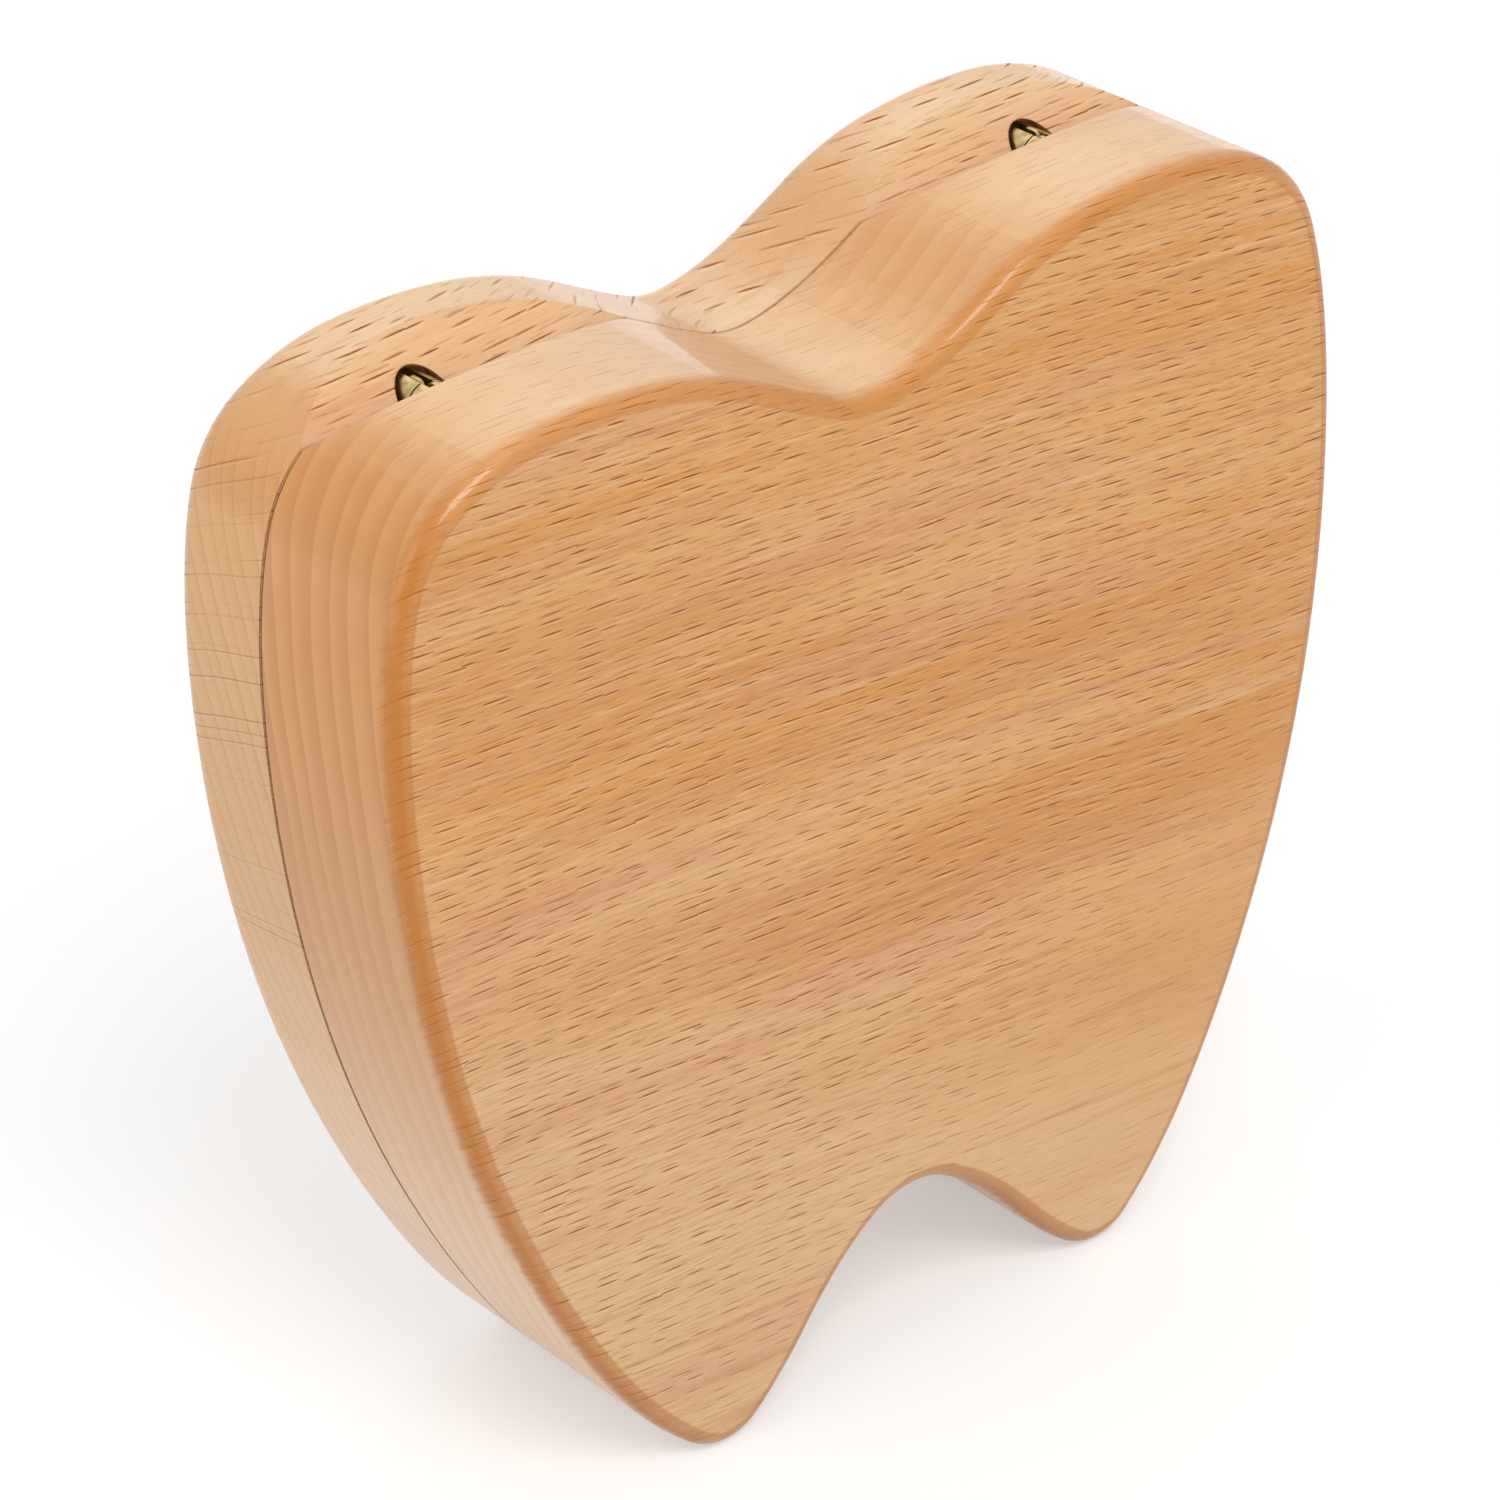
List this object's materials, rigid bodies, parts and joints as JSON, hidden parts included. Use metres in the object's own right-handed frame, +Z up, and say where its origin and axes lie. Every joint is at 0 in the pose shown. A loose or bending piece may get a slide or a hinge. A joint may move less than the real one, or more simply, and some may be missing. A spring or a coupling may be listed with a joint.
{
  "type": "baby tooth box",
  "caption": "Tooth-shaped beech keepsake box with pockets for milk teeth, opening on concealed barrel hinges, with a corked glass vial and tweezers inside.",
  "frame": {"origin": "on the floor under the root tips, in the middle of the width and of the closed thickness", "axes": "+X to the right seen from the front, +Y from the front (lid) to the back, +Z up to the crown"},
  "size_m": [0.12, 0.035, 0.1213],
  "materials": {
    "beech": "satin oiled beech",
    "brass": "turned brass",
    "nickel": "nickel-plated magnet",
    "clear_glass": "clear glass",
    "cork": "ground cork",
    "white_plastic": "translucent white moulded plastic"
  },
  "bodies": {
    "back": {"back_half": "beech", "barrel_back_left": "brass", "barrel_back_right": "brass", "pivot_pins_back": "brass", "magnet_back_left": "nickel", "magnet_back_right": "nickel"},
    "lid": {"front_half": "beech", "barrel_front_left": "brass", "barrel_front_right": "brass", "pivot_pins_front": "brass", "magnet_front_left": "nickel", "magnet_front_right": "nickel"},
    "back_leaves": {"leaf_back_left": "brass", "leaf_back_right": "brass", "centre_pins": "brass"},
    "front_leaves": {"leaf_front_left": "brass", "leaf_front_right": "brass"},
    "vial": {"vial": "clear_glass"},
    "cork": {"cork": "cork"},
    "tweezers": {"tweezers": "white_plastic"}
  },
  "joints": [
    {"name": "lid_hinge", "type": "hinge", "parent": "back", "child": "lid", "pos_m": [0, 0.003, 0.11915], "axis": [-1, 0, 0], "range_deg": [0, 135]},
    {"name": "back_leaf_turn", "type": "hinge", "parent": "back", "child": "back_leaves", "pos_m": [0, 0.0038, 0.11755], "axis": [-1, 0, 0], "range_deg": [0, 135]},
    {"name": "front_leaf_turn", "type": "hinge", "parent": "lid", "child": "front_leaves", "pos_m": [0, 0.0022, 0.11755], "axis": [-1, 0, 0], "range_deg": [-135, 0]},
    {"name": "vial_lift", "type": "slide", "parent": "back", "child": "vial", "axis": [0, -1, 0], "range_m": [0, 0.009]},
    {"name": "cork_pull", "type": "slide", "parent": "vial", "child": "cork", "axis": [1, 0, 0], "range_m": [0, 0.0055]},
    {"name": "tweezers_lift", "type": "slide", "parent": "back", "child": "tweezers", "axis": [0, -1, 0], "range_m": [0, 0.009]}
  ],
  "couplings": [
    {"joint": "back_leaf_turn", "follows": "lid_hinge", "ratio": 1},
    {"joint": "front_leaf_turn", "follows": "lid_hinge", "ratio": -1}
  ]
}
